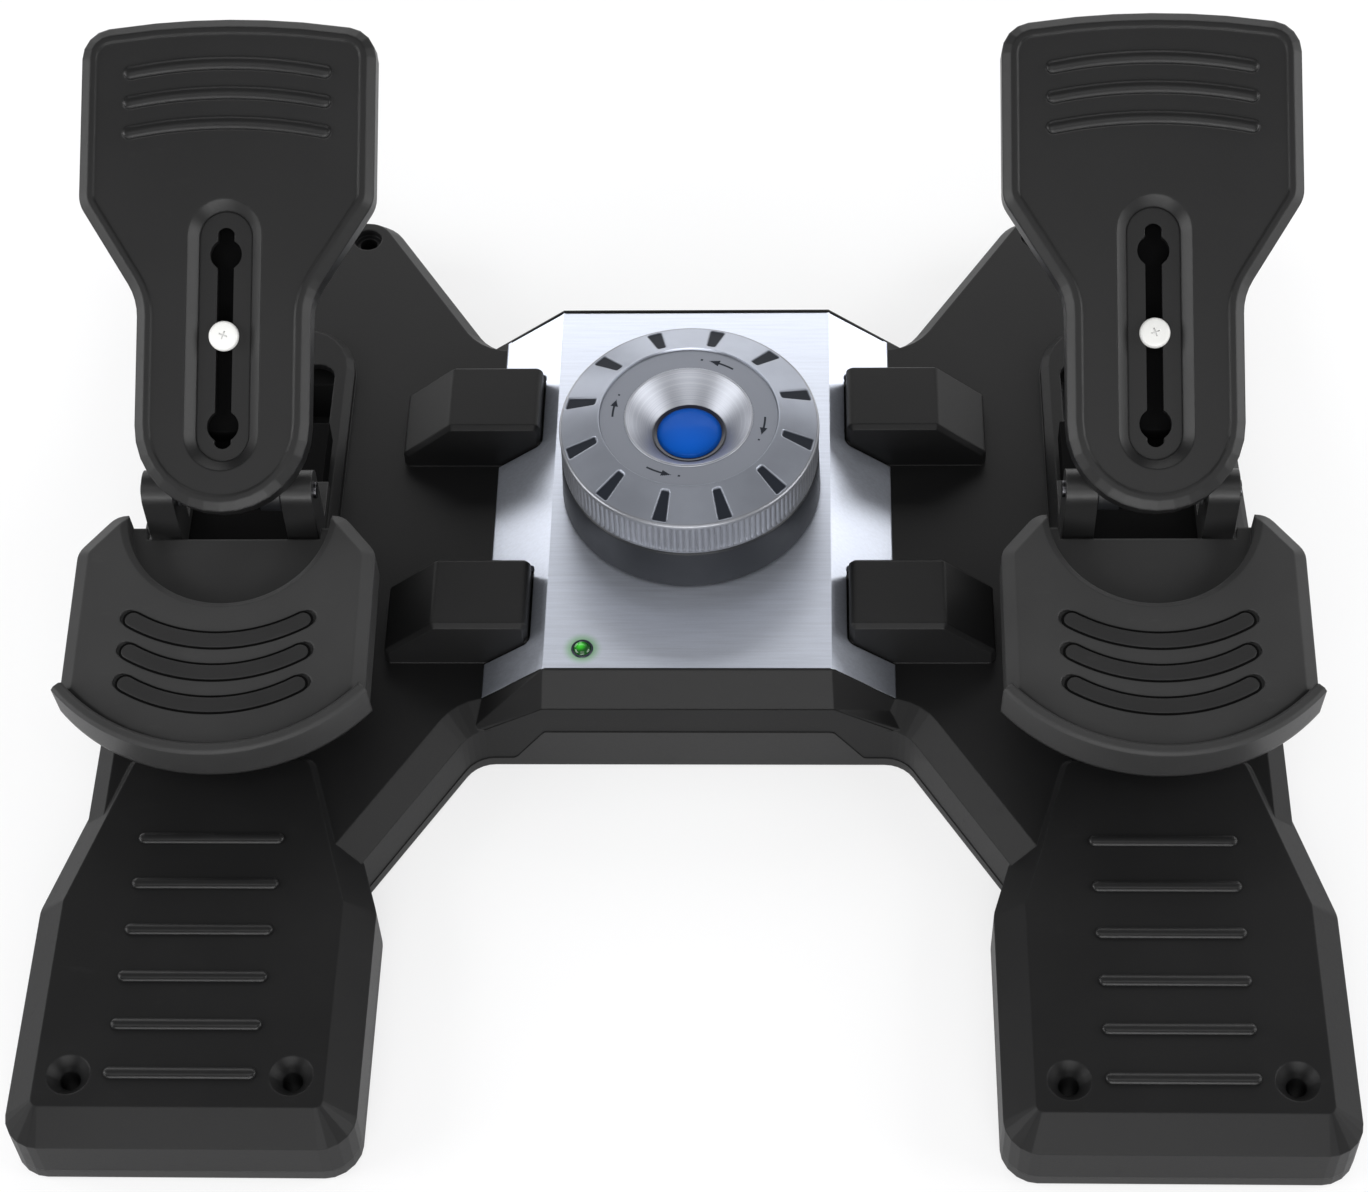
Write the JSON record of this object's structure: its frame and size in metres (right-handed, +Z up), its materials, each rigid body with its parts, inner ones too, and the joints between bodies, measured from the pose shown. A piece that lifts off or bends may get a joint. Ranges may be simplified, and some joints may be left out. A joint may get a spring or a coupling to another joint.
{
  "type": "flight simulator rudder pedals",
  "caption": "Desktop rudder pedals: two coupled sliding foot plates with tilting toe brakes on a low floor base, with a central tension knob.",
  "frame": {"origin": "middle of the bounding box on the floor plane under the rubber feet", "axes": "+X to the right as the user sits, +Y to the rear away from the user, +Z up"},
  "size_m": [0.438, 0.408, 0.1771],
  "materials": {
    "cover": "fine satin texture",
    "shell": "fine matt spark texture",
    "panel": "pale silver blue metallic paint",
    "green_lens": "clear green lens",
    "circuit_board": "green solder mask",
    "rubber": "smooth",
    "dark_screw": "black zinc",
    "ground_steel": "ground",
    "dark_plastic": "satin",
    "sensor_plastic": "moulded",
    "white_plastic": "moulded",
    "bronze": "sintered",
    "spring_steel": "drawn wire",
    "knob_silver": "silver metallic paint",
    "knob_dark": "dark grey",
    "knob_chrome": "bright",
    "knob_blue": "glossy",
    "grip_plastic": "matt",
    "white_screw": "satin"
  },
  "bodies": {
    "base": {"bottom_cover": "cover", "upper_shell": "shell", "centre_panel": "panel", "power_light": "green_lens", "light_board": "circuit_board", "main_board": "circuit_board", "rubber_feet": "rubber", "cover_screws": "dark_screw", "cable_bushing": "rubber", "left_guide_rods": "ground_steel", "right_guide_rods": "ground_steel", "left_rod_blocks": "dark_plastic", "right_rod_blocks": "dark_plastic", "pivot_post": "ground_steel", "rudder_sensor": "sensor_plastic"},
    "rocker_lever": {"rocker": "white_plastic", "rocker_bush": "bronze", "centring_spring": "spring_steel"},
    "knob": {"friction_disc": "rubber", "knob_spindle": "ground_steel", "knob_cap": "knob_silver", "knob_skirt": "knob_dark", "knob_dish": "knob_chrome", "knob_centre": "knob_blue"},
    "left_pedal": {"left_carriage": "dark_plastic", "left_slider_bushes": "bronze", "left_heel_plate": "shell", "left_heel_grips": "grip_plastic", "left_hinge_brackets": "dark_plastic", "left_bracket_screws": "dark_screw", "left_hinge_pin": "ground_steel", "left_brake_sensor": "sensor_plastic"},
    "left_toe_lever": {"left_toe_arm": "dark_plastic", "left_brake_spring": "spring_steel", "left_clamp_screw": "white_screw"},
    "left_toe_rest": {"left_toe_plate": "shell"},
    "right_pedal": {"right_carriage": "dark_plastic", "right_slider_bushes": "bronze", "right_heel_plate": "shell", "right_heel_grips": "grip_plastic", "right_hinge_brackets": "dark_plastic", "right_bracket_screws": "dark_screw", "right_hinge_pin": "ground_steel", "right_brake_sensor": "sensor_plastic"},
    "right_toe_lever": {"right_toe_arm": "dark_plastic", "right_brake_spring": "spring_steel", "right_clamp_screw": "white_screw"},
    "right_toe_rest": {"right_toe_plate": "shell"}
  },
  "joints": [
    {"name": "rudder_slide_left", "type": "slide", "parent": "base", "child": "left_pedal", "axis": [0, 1, 0], "range_m": [-0.038, 0.038], "stiffness_N_per_m": 250},
    {"name": "rudder_slide_right", "type": "slide", "parent": "base", "child": "right_pedal", "axis": [0, 1, 0], "range_m": [-0.038, 0.038]},
    {"name": "rocker_swing", "type": "hinge", "parent": "base", "child": "rocker_lever", "pos_m": [0, 0.0495, 0.017], "axis": [0, 0, 1], "range_deg": [-25.5, 25.5], "deforming": ["centring_spring"]},
    {"name": "tension_knob_turn", "type": "hinge", "parent": "base", "child": "knob", "pos_m": [0, 0.0495, 0.065], "axis": [0, 0, 1], "range_deg": [-150, 150]},
    {"name": "toe_brake_left", "type": "hinge", "parent": "left_pedal", "child": "left_toe_lever", "pos_m": [-0.1616, 0.02336, 0.07786], "axis": [-1, 0, 0], "range_deg": [0, 18], "stiffness_Nm_per_rad": 2, "springref_deg": -5.73, "deforming": ["left_brake_spring"]},
    {"name": "toe_rest_shift_left", "type": "slide", "parent": "left_toe_lever", "child": "left_toe_rest", "axis": [0, 0.8572, 0.515], "range_m": [-0.02, 0.02]},
    {"name": "toe_brake_right", "type": "hinge", "parent": "right_pedal", "child": "right_toe_lever", "pos_m": [0.1616, 0.02336, 0.07786], "axis": [-1, 0, 0], "range_deg": [0, 18], "stiffness_Nm_per_rad": 2, "springref_deg": -5.73, "deforming": ["right_brake_spring"]},
    {"name": "toe_rest_shift_right", "type": "slide", "parent": "right_toe_lever", "child": "right_toe_rest", "axis": [0, 0.8572, 0.515], "range_m": [-0.02, 0.02]}
  ],
  "couplings": [
    {"joint": "rudder_slide_right", "follows": "rudder_slide_left", "ratio": -1},
    {"joint": "rocker_swing", "follows": "rudder_slide_left", "rad_per_m": -11.67}
  ]
}
